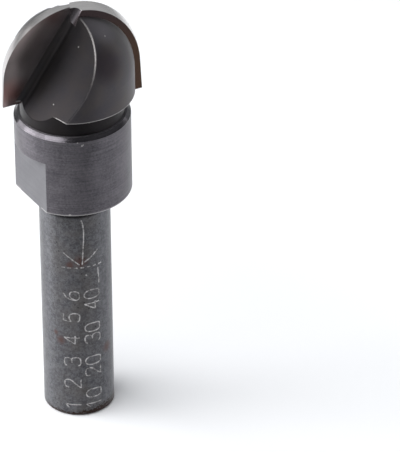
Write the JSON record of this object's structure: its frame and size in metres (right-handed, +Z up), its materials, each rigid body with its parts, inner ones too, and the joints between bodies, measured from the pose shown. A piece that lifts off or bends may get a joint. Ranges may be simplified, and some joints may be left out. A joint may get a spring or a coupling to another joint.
{
  "type": "cove router bit",
  "caption": "Ball-nosed cove router bit with brazed cutting tips on a fluted steel head, a collar with spanner flats and a plain round shank.",
  "frame": {"origin": "centre of the shank's end face, which the bit stands on", "axes": "+Z up along the axis of rotation, from the shank to the cutting head; the picture was taken looking along +Y and down, with +X to its right"},
  "size_m": [0.0154, 0.014, 0.052],
  "materials": {
    "body": "blackened, satin, with fine turning marks",
    "cutting_tip_front": "ground cemented carbide",
    "cutting_tip_back": "ground cemented carbide"
  },
  "bodies": {
    "root": {"body": "body", "cutting_tip_front": "cutting_tip_front", "cutting_tip_back": "cutting_tip_back"}
  },
  "joints": []
}
